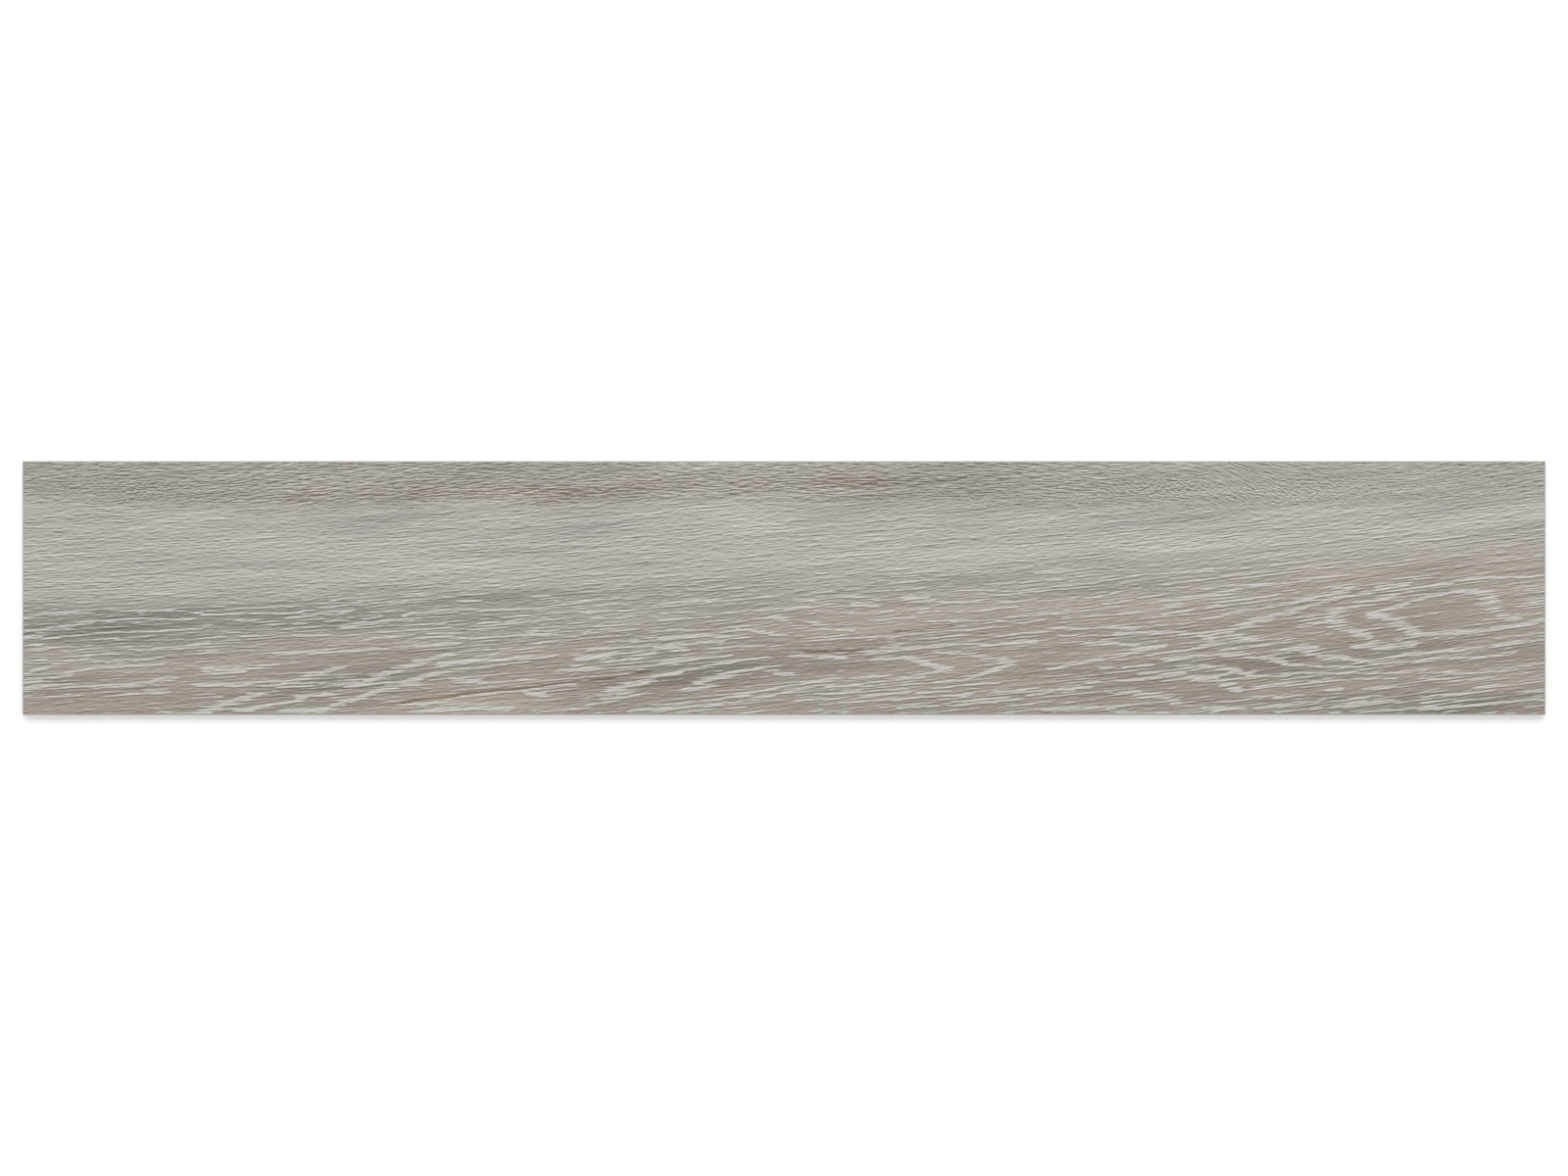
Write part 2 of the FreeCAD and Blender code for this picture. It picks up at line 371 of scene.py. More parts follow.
LEFT_LINES = (
    (1.8, (-600, -78.5), (-590, -77.5), (-575, -75.5), (-545, -77), (-528, -76.5), (-510, -75),
     (-495, -72.5), (-479, -70.5)),
    (1.2, (-600, -85.7), (-590, -85), (-580, -84.7), (-570, -84), (-561, -83.5)),
    (1, (-532, -84), (-515, -83)),
    (1.3, (-510, -82.5), (-498, -81.5), (-484, -82)),
    (1.8, (-600, -74), (-588, -71.5), (-575, -70), (-564, -68)),
    (1.1, (-566, -66), (-550, -63.8), (-543, -62.2), (-530, -61.6), (-520, -60.6), (-490, -59.4)),
    (1.1, (-600, -67), (-590, -65), (-580, -61.2), (-575, -59.3), (-560, -58), (-550, -56.8), (-530, -57),
     (-518, -56.1), (-500, -55.2), (-490, -54.4)),
    (0.9, (-574, -46.1), (-565, -45.6)),
    (0.9, (-592, -49.6), (-580, -47.9)),
    (0.9, (-568, -49.6), (-560, -48.8), (-550, -48), (-540, -47)),
    (0.9, (-560, -53.1), (-550, -52.6), (-542, -51.8)),
    (0.9, (-538, -52.2), (-530, -51.3)),
    (1.2, (-524, -46.5), (-512, -45.6)),
    (0.9, (-512, -48.5), (-490, -47.8), (-478, -47.5)),
    (1, (-590, -56.2), (-582, -55.2)),
    (1.1, (-600, -23), (-590, -21.5), (-582, -19.5), (-565, -18.5), (-546, -17)),
    (1.9, (-568, -30), (-546, -27)),
    (1, (-600, -33), (-585, -31.5), (-568, -30.5), (-546, -26.5), (-530, -25), (-512, -24),
     (-485, -24), (-465, -23.5)),
    (0.8, (-600, -39.5), (-580, -38.5), (-560, -37), (-545, -35.5), (-528, -34.5), (-490, -33.5),
     (-462, -32)),
    (0.8, (-552, -40.5), (-528, -39)),
    (0.8, (-600, -45), (-588, -43.5)),
    (0.8, (-530, -17.5), (-505, -17), (-470, -17.5), (-460, -19.5), (-450, -20.5), (-434, -20),
     (-400, -18.5)),
    (0.8, (-505, -46), (-485, -46), (-470, -44.5), (-455, -42.5)),
    (0.8, (-428, -38), (-402, -36)),
    (0.9, (-417, -29.3), (-408, -28.4), (-400, -28.4)),
    (1.1, (-392, -23.5), (-380, -21.8), (-370, -20.6), (-360, -19.3), (-350, -18), (-340, -17.2)),
    (0.8, (-332, -15.5), (-316, -13), (-300, -11), (-285, -10)),
    (1, (-301, -21.2), (-290, -19), (-279, -18.2), (-269, -16.8), (-258, -16), (-240, -17), (-222, -17),
     (-200, -15)),
    (1, (-350, -30.3), (-340, -29.5), (-330, -28.1), (-321, -27), (-310, -26.7)),
    (0.9, (-330, -24), (-323, -22.4), (-314, -21.3)),
    (0.9, (-396, -32), (-389, -31.4), (-381, -30.8), (-365, -30)),
    (0.8, (-380, -8.5), (-370, -7.8), (-360, -6.3), (-348, -5.7)),
    (0.8, (-357, -9.6), (-351, -8.9)),
    (0.8, (-335, -9.1), (-327, -9.3)),
    (0.8, (-360, -14.6), (-349, -13), (-342, -11.3), (-334, -10.5)),
    (0.8, (-403, -15.8), (-393, -15.2), (-386, -13.8)),
    (0.8, (-450, -13.8), (-441, -13.7)),
    (1, (-400, -19.6), (-389, -18.8), (-378, -17.4), (-366, -15.4), (-358, -14.4)),
    (0.8, (-430, -24.6), (-418, -24.6), (-410, -24)),
    (0.8, (-420, -19.4), (-408, -19)),
    (0.8, (-362, -26), (-352, -25.3), (-342, -25)),
    (0.8, (-385, -27.9), (-379, -27.5)),
    (0.8, (-320, -34.6), (-305, -33.5), (-290, -32.4)),
    (0.8, (-330, -40), (-316, -38.8), (-305, -37.5), (-290, -36.5)),
    (0.8, (-458, -32.4), (-450, -31.9), (-440, -30.4)),
    (0.8, (-445, -34.5), (-428, -34.3)),
    (0.8, (-383, -37.2), (-360, -36)),
)
MIDDLE_LINES = (
    (0.8, (-300, -6.5), (-280, -5), (-262, -4.5)),
    (1.2, (-303, -25.7), (-290, -23.6), (-286, -23.3)),
    (0.9, (-300, -29), (-290, -27.7), (-278, -28), (-262, -28.3), (-250, -27.5), (-240, -26.7),
     (-228, -26.3)),
    (0.9, (-230, -23.5), (-220, -22.7), (-212, -21.3), (-204, -20.7)),
    (0.8, (-197, -21.6), (-189, -20.1), (-180, -19), (-160, -18)),
    (0.8, (-217, -26.4), (-212, -25.9)),
    (0.8, (-290, -31.5), (-274, -31.6), (-262, -30.6)),
    (0.8, (-248, -32.3), (-235, -31.6), (-223, -30.9)),
    (0.8, (-205, -33.9), (-197, -33.4)),
    (0.8, (-283, -35.6), (-257, -35.2)),
    (0.8, (-280, -37.8), (-260, -37.2)),
    (0.8, (-203, -36.7), (-180, -35.5)),
    (0.8, (-182, -10.3), (-170, -9.8), (-155, -9)),
    (0.8, (-165, -16), (-150, -14.2), (-140, -13), (-130, -11.7)),
    (0.8, (-252, -4.6), (-241, -4.8)),
    (0.8, (-202, -6.3), (-190, -6), (-178, -5.7)),
    (0.8, (-205, -16.5), (-190, -15.8), (-180, -15)),
    (0.9, (-290, -39), (-270, -38.5), (-240, -38.5), (-225, -38)),
    (0.8, (-222, -48.5), (-205, -47), (-185, -45.5)),
    (1, (-150, -47.5), (-130, -46.5), (-115, -46), (-100, -45.5)),
    (0.9, (-135, -42), (-118, -40.5), (-102, -38.5)),
    (0.8, (-228, -38.5), (-210, -37), (-195, -35)),
    (0.8, (-160, -35), (-140, -33.5), (-120, -32)),
    (0.8, (-145, -30), (-128, -29), (-112, -28)),
    (0.8, (-96, -5), (-82, -4)),
    (0.8, (-75, -1.5), (-55, -0.5), (-35, 1)),
    (0.8, (-60, -10), (-40, -9), (-20, -7.5), (0, -5)),
    (0.8, (-88, -19), (-72, -18.5)),
    (1.3, (-45, -19.5), (-30, -17.5), (-15, -16), (5, -15.5), (20, -14.5), (38, -12)),
    (0.9, (-100, -25), (-80, -23.5), (-58, -22)),
    (2.0, (-12, -21.5), (0, -23.5)),
    (1.2, (20, -26.5), (34, -29)),
    (1.4, (-35, -32), (-20, -33.5), (-10, -36), (0, -36.5)),
    (1.3, (-98, -39.5), (-80, -38), (-62, -37), (-45, -37.5), (-28, -38.5)),
    (1.2, (-78, -43.5), (-60, -42), (-48, -41.5)),
    (1, (-95, -45.5), (-78, -46.5)),
    (0.9, (-60, -47.5), (-40, -46), (-20, -45.5), (-5, -45)),
    (0.9, (-92, -56), (-75, -54.5), (-62, -54)),
    (0.8, (84, 5), (100, 6.5), (118, 6)),
    (0.8, (86, 9.5), (104, 10.5)),
    (1, (15, -31), (38, -31.5), (55, -33)),
    (0.8, (62, -25), (84, -24), (104, -23)),
    (0.9, (78, -46.5), (98, -46.5), (118, -46)),
    (0.9, (120, 14), (138, 14.8), (154, 14)),
    (1, (200, 12), (214, 13), (228, 14.5), (242, 16.5)),
    (0.9, (112, -25.5), (130, -25), (150, -25), (168, -24.5)),
    (0.9, (178, -26.5), (190, -26.5), (204, -24.5)),
    (0.8, (281, -7.5), (300, -4)),
    (0.8, (222, -23.5), (242, -21.5), (262, -20), (282, -18), (300, -15.5)),
    (0.8, (270, -30.5), (285, -29.5), (300, -28.5)),
    (1.2, (172, -43), (186, -41.5), (200, -41)),
    (0.8, (368, 11.5), (390, 14), (408, 15.8), (430, 17)),
    (1.6, (378, 2.5), (392, 4)),
    (1.2, (300, -9.5), (318, -7.5), (336, -5), (352, -4)),
    (0.8, (300, -14.5), (314, -12)),
)
WHITE_LINES = (
    EYE_LINES + ARM_LINES + UPPER_LINES + LOWER_LINES + FAN_LINES + LOOP_LINES + SLANT_LINES + LEFT_LINES
    + MIDDLE_LINES
)
# Brown streaks, drawn the same way.
BROWN_LINES = (
    (1, (-300, -89.5), (-285, -87.5), (-265, -85), (-250, -82.5), (-235, -80.5), (-200, -78),
     (-180, -75.5)),
    (1, (-180, -75.5), (-165, -73), (-150, -72), (-140, -71), (-128, -68.5), (-115, -66), (-105, -64.5)),
    (1, (90, -33.5), (115, -31.5), (132, -29.5)),
    (1, (12, -49.5), (35, -49.5), (60, -48.5)),
)

# Soft patches of the wash: along, across, half length, half width in mm, slope in degrees, strength.
# The tone lightens or darkens the wood, the brown stains it, the mottle breaks the flecks up into grains,
# and the calm patches have no fine white lines. One step of tone is this share of the brightness.
TONE_STEP = 0.075
TONE_PATCHES = (
    (-500, -27, 150, 14, 1, -4.4),
    (-540, -8, 80, 7, 0, -0.9),
    (-340, -22, 70, 10, 3, -2.1),
    (-200, -7, 180, 7, 2, -2.8),
    (-560, 42, 110, 12, 0, -1.2),
    (-200, 42, 150, 12, 0, -1.2),
    (-570, 25, 60, 9, 0, 1.0),
    (110, -26, 130, 9, 4, 2.0),
    (180, -40, 110, 7, 4, 0.7),
    (337, -8, 60, 7, 4, 1.4),
    (412, -8, 40, 6, 5, -1.2),
    (450, 9, 60, 8, 4, 1.9),
    (-338, -72, 60, 12, 8, -3.6),
    (-525, -74, 70, 7, 0, -0.9),
    (-72, -68, 75, 12, 8, -4.1),
    (55, -58, 60, 8, 4, -1.8),
    (110, -76, 100, 7, 6, 0.9),
    (420, -60, 170, 9, 4, -3.0),
    (510, -92, 105, 12, 3, -3.7),
    (-250, -93, 50, 8, 3, 4.6),
    (262, -92, 40, 8, 3, 1.2),
    (565, -74, 50, 7, 4, 1.5),
    (187, -75, 50, 7, 5, 1.2),
    (-113, -56, 40, 6, 6, -1.3),
    (337, -56, 50, 6, 0, -1.1),
    (525, -22, 60, 12, 4, 0.7),
    (-560, -38, 60, 12, 0, -1.7),
    (-75, -8, 60, 7, 3, -1.3),
    (150, -8, 70, 6, 0, -0.9),
    (412, -8, 40, 6, 4, -0.6),
    (40, 25, 60, 8, 0, 0.7),
    (-415, -92, 40, 8, 4, -1.4),
    (-530, -92, 90, 8, 0, 1.9),
    (400, 35, 220, 14, 2, 0.9),
    (525, 25, 70, 9, 3, 0.9),
    (570, -8, 60, 30, 4, 1.5),
    (370, 74, 90, 12, 0, 0.9),
    (480, 72, 110, 14, 0, 0.35),
    (-220, 96, 110, 6, 0, -1.4),
    (-540, 84, 100, 18, 0, -0.8),
    (-120, 76, 140, 9, 0, -1.3),
    (220, 76, 70, 9, -2, -0.8),
    (0, 95, 90, 6, 0, 1.2),
    (60, 84, 55, 6, 0, -0.6),
    (150, 64, 90, 10, 0, -0.9),
    (-338, 75, 40, 8, 0, 1.2),
    (-413, -75, 35, 8, 4, 0.9),
    (-220, -75, 60, 7, 6, 0.8),
    (-190, 25, 120, 8, 0, -0.7),
    (187, 9, 40, 8, 2, -0.7),
    (37, 75, 40, 7, 0, 0.8),
    (487, 93, 50, 8, 0, 0.8),
    (-210, -33, 60, 10, 3, -0.8),
    (-380, -25, 70, 8, 2, -0.9),
    (110, -93, 110, 8, 4, -0.8),
)
BROWN_PATCHES = (
    (-330, 72, 260, 9, 1, 1.1),
    (-540, 74, 70, 9, 0, 0.4),
    (90, 71, 110, 8, 0, 0.8),
    (480, 86, 140, 18, 0, -0.5),
    (-165, 71, 40, 4, 2, 0.6),
    (-100, 78, 150, 10, 2, 0.6),
    (55, 84, 40, 5, 0, 1.0),
    (80, 85, 110, 8, 0, 0.5),
    (-350, 92, 220, 12, 0, 0.8),
    (250, 84, 170, 12, -3, 0.5),
)
MOTTLE_PATCHES = (
    (410, 74, 95, 15, 0, 0.6),
    (-520, 76, 90, 12, 0, 0.45),
    (290, 78, 50, 9, 0, 0.5),
    (150, 68, 100, 8, 0, 0.3),
)
CALM_PATCHES = (
    (-495, -79, 40, 3, 3, 1.0),
    (527, -20, 45, 13, 8, 1.0),
    (445, -24, 24, 5, 0, 1.0),
    (430, -44, 26, 5, -10, 1.0),
    (360, -58, 36, 5, -8, 1.0),
    (320, -78, 40, 6, -4, 1.0),
    (225, -52, 45, 7, 6, 1.0),
    (60, -62, 60, 5, 4, 1.0),
    (-85, -78, 36, 9, 10, 1.0),
    (-45, -70, 40, 4, 10, 1.0),
    (-340, -58, 60, 6, 4, 1.0),
    (-520, -68, 60, 5, 2, 1.0),
    (-560, -93, 80, 7, 0, 1.0),
    (-330, -82, 30, 4, 12, 0.6),
)

# Where each side of the plank goes on the unfolded map: its direction, the two axes that it is seen by,
# and its place on the map from and to, as shares of the map. The face gets most of it.
MAP_SIDES = (
    ((0, 0, 1), (0, 1), (0.005, 0.22), (0.995, 0.995)),
    ((0, 0, -1), (0, 1), (0.005, 0.09), (0.995, 0.2)),
    ((0, -1, 0), (0, 2), (0.005, 0.005), (0.995, 0.028)),
    ((0, 1, 0), (0, 2), (0.005, 0.034), (0.995, 0.057)),
    ((-1, 0, 0), (1, 2), (0.005, 0.063), (0.49, 0.085)),
    ((1, 0, 0), (1, 2), (0.51, 0.063), (0.995, 0.085)),
)
# A face belongs to the first side that it leans towards by more than this, so a bevel goes with its flat.
MAP_LEAN = 0.3

# The finishes: strength and depth of the bump, roughness from the low to the high places, and for the
# unglazed body its colours, with the size of its grains, clouds and grit and their layers of finer noise.
GLAZE_BUMP = (0.2, 0.15 * MM)
GLAZE_ROUGHNESS = (0.5, 0.62)
GLAZE_IOR = 1.5
GROUND_COLOURS = ("#9c978f", "#b5b1aa")
GROUND_GRAINS = (1.5 * MM, 3.0)
GROUND_BUMP = (0.3, 0.1 * MM)
GROUND_ROUGHNESS = (0.6, 0.75)
BACK_COLOURS = ("#9b968d", "#bdb9b2")
BACK_CLOUDS = (40 * MM, 5.0)
BACK_GRIT = (0.9 * MM, 2.0)
BACK_BUMP = (0.4, 0.15 * MM)
BACK_ROUGHNESS = (0.75, 0.9)
# How far in from the sides the ground finish reaches, so that it takes in the bevels.
GROUND_BAND = 1.0 * MM

# Light: the even surround, the broad lamp, and how far the floor is lifted to white for the camera.
SURROUND_STRENGTH = 0.55
LAMP_WATTS = 58.0
LAMP_SIZE = (4.0, 1.6)
LAMP_PLACE = (0, 1.6, 2.4)
FLOOR_LIFT = 0.35
FLOOR_COLOUR = "#e4e4e4"
# The floor lies a hair under the back, so that no faces coincide.
FLOOR_SIZE = 12.0
FLOOR_GAP = 0.1 * MM
# The camera's lens and sensor, in mm.
LENS = 85.0
SENSOR_WIDTH = 36.0

# The kinds of node that the materials are made of.
ATTRIBUTE = "Attribute"
COORDINATES = "TexCoord"
MAPPING = "Mapping"
NOISE = "TexNoise"
MATH = "Math"
VECTOR_MATH = "VectorMath"
RANGE = "MapRange"
MIX = "Mix"
BUMP = "Bump"
PRINCIPLED = "BsdfPrincipled"
DIFFUSE = "BsdfDiffuse"
EMISSION = "Emission"
ADD_SHADER = "AddShader"
LIGHT_PATH = "LightPath"
OUTPUT = "OutputMaterial"
BACKGROUND = "Background"
WORLD_OUTPUT = "OutputWorld"


def smooth_line(points, along):
    """The height of a smooth line through (along, height) points, at each place along it."""
    station, height = np.array(points, float).T
    slope = np.gradient(height, station)
    start = np.clip(np.searchsorted(station, along) - 1, 0, len(station) - 2)
    stop = start + 1
    step = station[stop] - station[start]
    t = (along - station[start]) / step
    leaving = (1 + 2 * t) * height[start] + t * step * slope[start]
    arriving = (3 - 2 * t) * height[stop] + (t - 1) * step * slope[stop]
    return leaving * (1 - t) ** 2 + arriving * t ** 2


def fibre_lay(along, across):
    """How far over the heart line points in mm lie, counted so that the guide lines keep one lay each."""
    edge = HIGH.y / MM
    heart = smooth_line(HEART_LINE, along)
    pale_from = smooth_line(PALE_FROM, along)
    pale_to = smooth_line(PALE_TO, along)
    over_heart = (across - heart) / (pale_from - heart)
    over_pale = (across - pale_from) / (pale_to - pale_from)
    over_top = (across - pale_to) / (edge - pale_to)
    return np.select(
        [across < heart, across < pale_from, across < pale_to],
        [
            LAY_BELOW * (across - heart),
            LAY_PALE_FROM * over_heart,
            LAY_PALE_FROM + over_pale * (LAY_PALE_TO - LAY_PALE_FROM),
        ],
        LAY_PALE_TO + over_top * (LAY_EDGE - LAY_PALE_TO),
    )


def drawn(along, across, lines):
    """How near points in mm lie to the drawn lines: a line's boldness on it, fading out over its half width."""
    nearest = np.zeros_like(along)
    for half_width, *points in lines:
        boldness = THIN_BOLDNESS - BROAD_LOSS * half_width
        for (x0, y0), (x1, y1) in zip(points, points[1:]):
            run = (x1 - x0) / LINE_STRETCH
            rise = y1 - y0
            dx = (along - x0) / LINE_STRETCH
            dy = across + LINE_DROP - y0
            t = np.clip((dx * run + dy * rise) / (run ** 2 + rise ** 2), 0, 1)
            apart = np.hypot(dx - t * run, dy - t * rise)
            nearest = np.maximum(nearest, boldness * np.exp(-(apart / half_width) ** LINE_SHARPNESS))
    return nearest


def patches(along, across, listed):
    """The sum of the listed soft patches at points in mm."""
    total = np.zeros_like(along)
    for middle_x, middle_y, half_length, half_width, slope, strength in listed:
        turn = math.radians(slope)
        dx = along - middle_x
        dy = across - middle_y
        lengthwise = (dx * math.cos(turn) + dy * math.sin(turn)) / half_length
        crosswise = (dy * math.cos(turn) - dx * math.sin(turn)) / half_width
        total += strength * np.exp(-lengthwise ** 2 - crosswise ** 2)
    return total


def linear(colour):
    """An sRGB hex colour as linear red, green, blue and full opacity."""
    channels = []
    for start in (1, 3, 5):
        value = int(colour[start:start + 2], 16) / 255
        channels.append(value / 12.92 if value <= 0.04045 else ((value + 0.055) / 1.055) ** 2.4)
    return (*channels, 1.0)


def add(tree, kind, *values, named=None, **settings):
    """Adds a node with its settings, feeds its inputs in order or by name, and gives its first output."""
    made = tree.nodes.new("ShaderNode" + kind)
    for name, value in settings.items():
        setattr(made, name, value)
    sockets = [socket for socket in made.inputs if socket.enabled]
    feeds = list(zip(sockets, values))
    feeds += [(made.inputs[name], value) for name, value in (named or {}).items()]
    for socket, value in feeds:
        if isinstance(value, bpy.types.NodeSocket):
            tree.links.new(value, socket)
        else:
            socket.default_value = value
    outputs = [socket for socket in made.outputs if socket.enabled]
    return outputs[0] if outputs else made


def new_material(name):
    """A material with an empty node tree, and the tree to fill."""
    material = bpy.data.materials.new(name)
    material.use_nodes = True
    tree = material.node_tree
    tree.nodes.clear()
    return material, tree


def select_only(piece):
    """Deselects everything, then selects one piece and makes it active."""
    bpy.ops.object.select_all(action="DESELECT")
    piece.select_set(True)
    bpy.context.view_layer.objects.active = piece


def pick(mesh, kind, chosen):
    """Selects just the chosen vertices, edges or faces of a mesh in object mode."""
    everything = {"VERT": mesh.vertices, "EDGE": mesh.edges, "FACE": mesh.polygons}
    for parts in everything.values():
        parts.foreach_set("select", np.zeros(len(parts), bool))
    bpy.context.tool_settings.mesh_select_mode = [kind == each for each in everything]
    everything[kind].foreach_set("select", np.array(chosen, bool))


def vertex_places(mesh):
    """All vertices of a mesh as an array of places."""
    places = np.empty(len(mesh.vertices) * 3)
    mesh.vertices.foreach_get("co", places)
    return places.reshape(-1, 3)


def merge(piece):
    """Merges the vertices of a piece that lie in one place."""
    select_only(piece)
    bpy.ops.object.mode_set(mode="EDIT")
    bpy.ops.mesh.select_all(action="SELECT")
    bpy.ops.mesh.remove_doubles(threshold=WELD)
    bpy.ops.object.mode_set(mode="OBJECT")


def fired_blank():
    """The plank from the CAD solid: merged, with the flat of its face taken off."""
    blank = bpy.data.objects.new("wood_grain_plank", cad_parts[NODE].data.copy())
    bpy.context.collection.objects.link(blank)
    blank.data.materials.clear()
    select_only(blank)
    bpy.ops.mesh.customdata_custom_splitnormals_clear()
    merge(blank)
    pick(blank.data, "FACE", [face.center.z > HIGH.z - WELD for face in blank.data.polygons])
    bpy.ops.object.mode_set(mode="EDIT")
    bpy.ops.mesh.delete(type="FACE")
    bpy.ops.object.mode_set(mode="OBJECT")
    return blank


def cut_rim(blank):
    """Cuts the rim of the open face into as many parts as the face has cells."""
    for axis, rounds in enumerate((PARTS_ALONG, PARTS_ACROSS)):
        for parts in rounds:
            places = vertex_places(blank.data)
            chosen = []
            for edge in blank.data.edges:
                start, stop = places[list(edge.vertices)]
                at_top = min(start[2], stop[2]) > HIGH.z - WELD
                chosen.append(at_top and abs(stop - start)[axis] > WELD)
            pick(blank.data, "EDGE", chosen)
            bpy.ops.object.mode_set(mode="EDIT")
            bpy.ops.mesh.subdivide(number_cuts=parts - 1)
            bpy.ops.object.mode_set(mode="OBJECT")


def face_sheet(blank):
    """A fine grid that fills the open face to its rim."""
    places = vertex_places(blank.data)
    rim = places[places[:, 2] > HIGH.z - WELD]
    bpy.ops.object.select_all(action="DESELECT")
    bpy.ops.mesh.primitive_grid_add(
        x_subdivisions=math.prod(PARTS_ALONG),
        y_subdivisions=math.prod(PARTS_ACROSS),
        size=1.0,
        location=(0, 0, HIGH.z),
    )
    sheet = bpy.context.object
    sheet.scale = (np.ptp(rim[:, 0]), np.ptp(rim[:, 1]), 1)
    bpy.ops.object.transform_apply(location=True, rotation=True, scale=True)
    return sheet


def weld_face(blank, sheet):
    """Joins the face to the blank and merges the two along the rim."""
    select_only(blank)
    sheet.select_set(True)
    bpy.ops.object.join()
    merge(blank)


def press_grain(plank):
    """Stamps the open grain into the face, and leaves its rim at full height."""
    places = vertex_places(plank.data)
    at_top = places[:, 2] > HIGH.z - WELD
    top = places[at_top]
    rim_x = top[:, 0].max() - WELD
    rim_y = top[:, 1].max() - WELD
    along = places[:, 0] / MM
    across = places[:, 1] / MM
    strand = across - smooth_line(FIBRE_RUN, along)
    figure = drawn(along, across, WHITE_LINES)
    length, width = PRESSED_STROKE
    group = plank.vertex_groups.new(name="open_grain")
    for index in np.flatnonzero(at_top):
        x, y = places[index, :2]
        if abs(x) > rim_x or abs(y) > rim_y:
            continue
        fibre = noise.noise(Vector((along[index] / length, strand[index] / width, 0)))
        depth = PRESSED_LINE * figure[index] + PRESSED_FIBRE * fibre
        group.add([int(index)], min(1.0, max(0.0, depth)), "REPLACE")
    select_only(plank)
    bpy.ops.object.modifier_add(type="DISPLACE")
    stamp = plank.modifiers[-1]
    stamp.direction = "Z"
    stamp.mid_level = 0.0
    stamp.strength = -GRAIN_DEPTH
    stamp.vertex_group = group.name
    bpy.ops.object.modifier_apply(modifier=stamp.name)
    bpy.ops.object.shade_smooth_by_angle(angle=SMOOTH_UNDER)


def store_grain(plank):
    """Keeps the fibre's coordinates, the drawn lines and the wash on the mesh, for the glaze to read."""
    places = vertex_places(plank.data)
    along = places[:, 0] / MM
    across = places[:, 1] / MM
    strands = {
        "strand": across - smooth_line(FIBRE_RUN, along),
        "flecked_strand": across - smooth_line(FLECKED_RUN, along),
    }
    for name, over_run in strands.items():
        layer = plank.data.attributes.new(name, "FLOAT_VECTOR", "POINT")
        columns = np.column_stack((along, over_run, np.zeros_like(along)))
        layer.data.foreach_set("vector", columns.astype(np.float32).ravel())
    washes = {
        "lay": fibre_lay(along, across),
        "figure": drawn(along, across, WHITE_LINES),
        # The white lines a lip higher, for the painted shade under them.
        "figure_above": drawn(along, across + STROKE_LIP, WHITE_LINES),
        "tone": patches(along, across, TONE_PATCHES),
        "brown": patches(along, across, BROWN_PATCHES),
        "brown_line": drawn(along, across, BROWN_LINES),
        "mottle": patches(along, across, MOTTLE_PATCHES),
        "calm": patches(along, across, CALM_PATCHES),
    }
    for name, values in washes.items():
        layer = plank.data.attributes.new(name, "FLOAT", "POINT")
        layer.data.foreach_set("value", values.astype(np.float32))


def streaks(tree, strand, length, width, detail=PLAIN_DETAIL, shift=0.0):
    """Noise drawn out along the fibre, in streaks of about this length and width in mm."""
    place = add(tree, MAPPING, strand, named={
        "Scale": (1 / length, 1 / width, 0),
        "Location": (0, shift / width, 0),
    })
    return add(tree, NOISE, place, noise_dimensions="2D", named={"Scale": 1.0, "Detail": detail})


def strokes(tree, strand, size, shift):
    """Ridges of the open grain, 0 to 1, in strokes of this length and width in mm."""
    streak = streaks(tree, strand, *size, shift=shift)
    return add(tree, RANGE, streak, *STROKE_FROM, interpolation_type="SMOOTHSTEP")


def blend(tree, layers, shares):
    """The layers added up, each by its share."""
    total = 0.0
    for layer, share in zip(layers, shares):
        total = add(tree, MATH, layer, share, total, operation="MULTIPLY_ADD")
    return total


def stored_grain(tree):
    """What the mesh keeps of the grain, by name."""
    grain = {}
    for name in ("strand", "flecked_strand"):
        grain[name] = add(tree, ATTRIBUTE, attribute_name=name).node.outputs["Vector"]
    for name in ("lay", "figure", "figure_above", "tone", "brown", "brown_line", "mottle", "calm"):
        grain[name] = add(tree, ATTRIBUTE, attribute_name=name).node.outputs["Fac"]
    return grain


def zones(tree, grain):
    """Where the figured wood and the flecked band lie, with edges that wander along the fibre."""
    wander = streaks(tree, grain["strand"], *EDGE_WANDER, RAGGED_DETAIL)
    drift = add(tree, MATH, wander, WANDER_DEPTH, grain["lay"], operation="MULTIPLY_ADD")
    figured = add(tree, RANGE, drift, *FIGURE_FADES, 1.0, 0.0, interpolation_type="SMOOTHSTEP")
    flecked = add(tree, RANGE, drift, *FLECKS_FADE_IN, interpolation_type="SMOOTHSTEP")
    return figured, flecked


def open_grain(tree, grain, figured, flecked, shift):
    """The open grain's height in its three zones, 0 to 1, and the height of the strokes that lime fills."""
    fibres = [strokes(tree, grain["strand"], size, shift) for size in FIBRE_STROKES]
    flecks = strokes(tree, grain["flecked_strand"], FLECK_STROKE, shift)
    ticks = strokes(tree, grain["flecked_strand"], FLECK_TICK, 0.0)
    pale = blend(tree, fibres, PALE_SHARES)
    height = add(tree, MIX, figured, pale, blend(tree, fibres, FIGURE_SHARES))
    mottle = strokes(tree, grain["flecked_strand"], MOTTLE_STROKE, shift)
    ticks = add(tree, MATH, ticks, TICK_FADES, 1 - TICK_FADES, operation="MULTIPLY_ADD")
    flecks = add(tree, MATH, flecks, ticks, operation="MULTIPLY")
    flecks = add(tree, MIX, grain["mottle"], flecks, mottle)
    return add(tree, MIX, flecked, height, flecks), blend(tree, fibres, LIME_SHARES)


